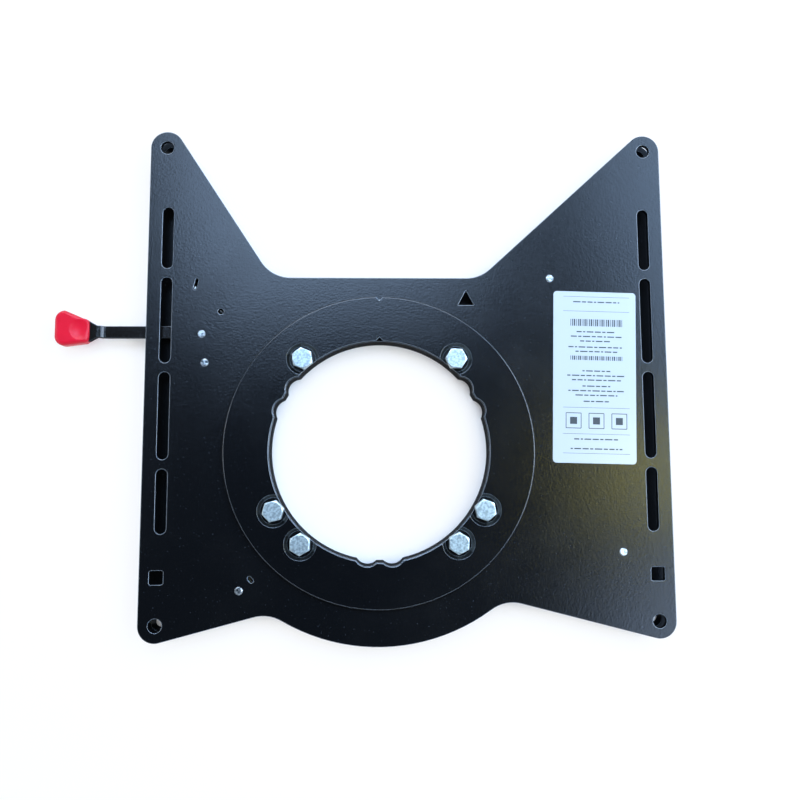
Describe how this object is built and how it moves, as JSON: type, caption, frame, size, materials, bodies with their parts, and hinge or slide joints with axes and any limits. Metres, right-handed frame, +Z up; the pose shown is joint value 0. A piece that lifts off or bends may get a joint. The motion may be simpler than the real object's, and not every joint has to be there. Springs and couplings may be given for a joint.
{
  "type": "swivel seat base",
  "caption": "Low swivel base for a camper seat: stacked black steel plates with ears, a scalloped clamp ring with zinc bolts, and a latch lever with a red grip.",
  "frame": {"origin": "middle of the four mounting holes, on the underside of the base plate", "axes": "+Z up, +Y towards the two ears, the release lever sticks out towards -X"},
  "size_m": [0.5182, 0.4355, 0.0276],
  "materials": {
    "black_coat": "satin powder coat, fine texture",
    "zinc": "bright zinc plate",
    "red_plastic": "glossy moulded",
    "slide_plastic": "off-white, as moulded",
    "label": "white film"
  },
  "bodies": {
    "base": {"base_plate": "black_coat", "hub_ring": "black_coat", "index_plate": "black_coat", "lower_glide_ring": "slide_plastic", "centre_ring": "black_coat", "upper_glide_ring": "slide_plastic", "clamp_ring": "black_coat", "clamp_bolts": "zinc"},
    "turntable": {"top_plate": "black_coat", "lever_pivot_pin": "zinc", "pivot_washer": "slide_plastic", "lever_guide_pin": "zinc", "guide_washer": "slide_plastic", "return_spring": "zinc", "glide_pad_left": "slide_plastic", "glide_pad_right": "slide_plastic", "glide_pad_rear": "slide_plastic", "pad_rivets": "zinc", "info_label": "label"},
    "lever": {"release_lever": "black_coat", "lever_grip": "red_plastic"}
  },
  "joints": [
    {"name": "swivel", "type": "hinge", "parent": "base", "child": "turntable", "pos_m": [-0.0244, -0.06, 0.018], "axis": [0, 0, 1], "range_deg": [-180, 180]},
    {"name": "lever", "type": "hinge", "parent": "turntable", "child": "lever", "pos_m": [-0.1742, 0.0386, 0.0125], "axis": [0, 0, -1], "range_deg": [-4.4, 9], "stiffness_Nm_per_rad": 3, "springref_deg": -20.05, "deforming": ["return_spring"]}
  ]
}
